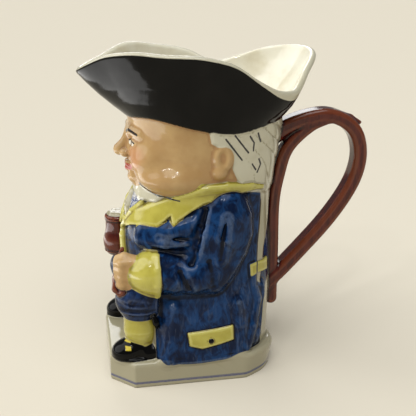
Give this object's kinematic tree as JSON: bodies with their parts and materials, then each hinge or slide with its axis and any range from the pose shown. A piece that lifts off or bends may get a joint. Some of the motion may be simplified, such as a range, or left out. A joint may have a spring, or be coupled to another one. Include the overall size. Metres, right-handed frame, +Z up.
{
  "type": "toby jug",
  "caption": "Hollow glazed jug in the form of a seated man in a long coat; the cocked hat is the open rim, with a pouring corner in front and a strap handle behind.",
  "frame": {"origin": "middle of the plinth's flat underside", "axes": "+Z up; -Y is the figure's front, where the hat pours; +Y is its back, with the handle; +X is the figure's left"},
  "size_m": [0.0977, 0.1952, 0.2201],
  "materials": {
    "painted_glaze": "clear gloss glaze over hand-painted cobalt blue, black, yellow, brown and flesh colours on a cream body"
  },
  "bodies": {
    "root": {"toby_jug": "painted_glaze"}
  },
  "joints": []
}
